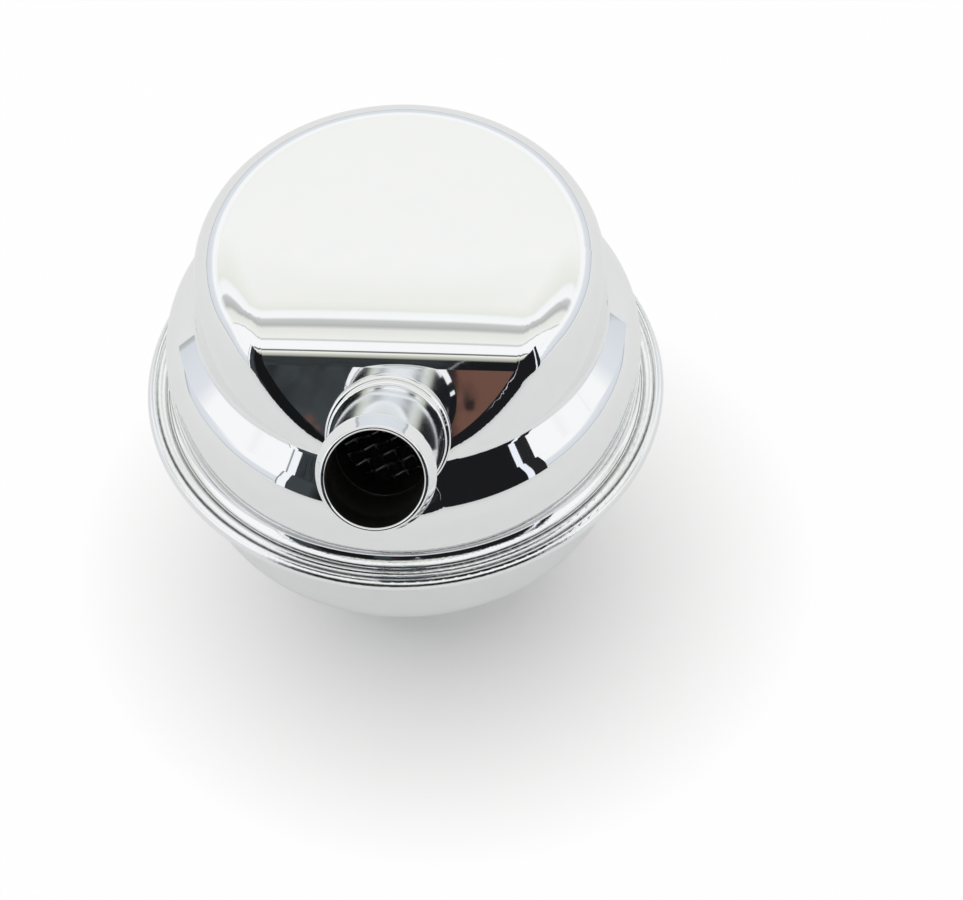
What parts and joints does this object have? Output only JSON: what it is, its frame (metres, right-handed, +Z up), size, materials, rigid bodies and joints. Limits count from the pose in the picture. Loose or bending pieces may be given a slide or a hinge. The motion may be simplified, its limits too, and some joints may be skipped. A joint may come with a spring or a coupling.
{
  "type": "crankcase breather filter",
  "caption": "Chromed steel breather: a round stepped cap with a beaded outlet on its sloping facet, rolled onto a deep pan whose plain neck pushes into a rubber grommet.",
  "frame": {"origin": "centre of the push-in neck's lower end", "axes": "+Z up along the neck towards the cap's crown; the outlet leans out and up over -Y; +X completes the right-handed frame"},
  "size_m": [0.0762, 0.0898, 0.0806],
  "materials": {
    "chrome_plate": "bright decorative chrome on drawn sheet steel",
    "screen_wire": "dark wire cloth",
    "filter_pad": "black non-woven pad",
    "baffle_steel": "plain zinc-plated steel"
  },
  "bodies": {
    "root": {"hood": "chrome_plate", "outlet_tube": "chrome_plate", "upper_screen": "screen_wire", "filter_media": "filter_pad", "lower_screen": "screen_wire", "baffle_plate": "baffle_steel", "base_pan": "chrome_plate", "neck_tube": "chrome_plate"}
  },
  "joints": []
}
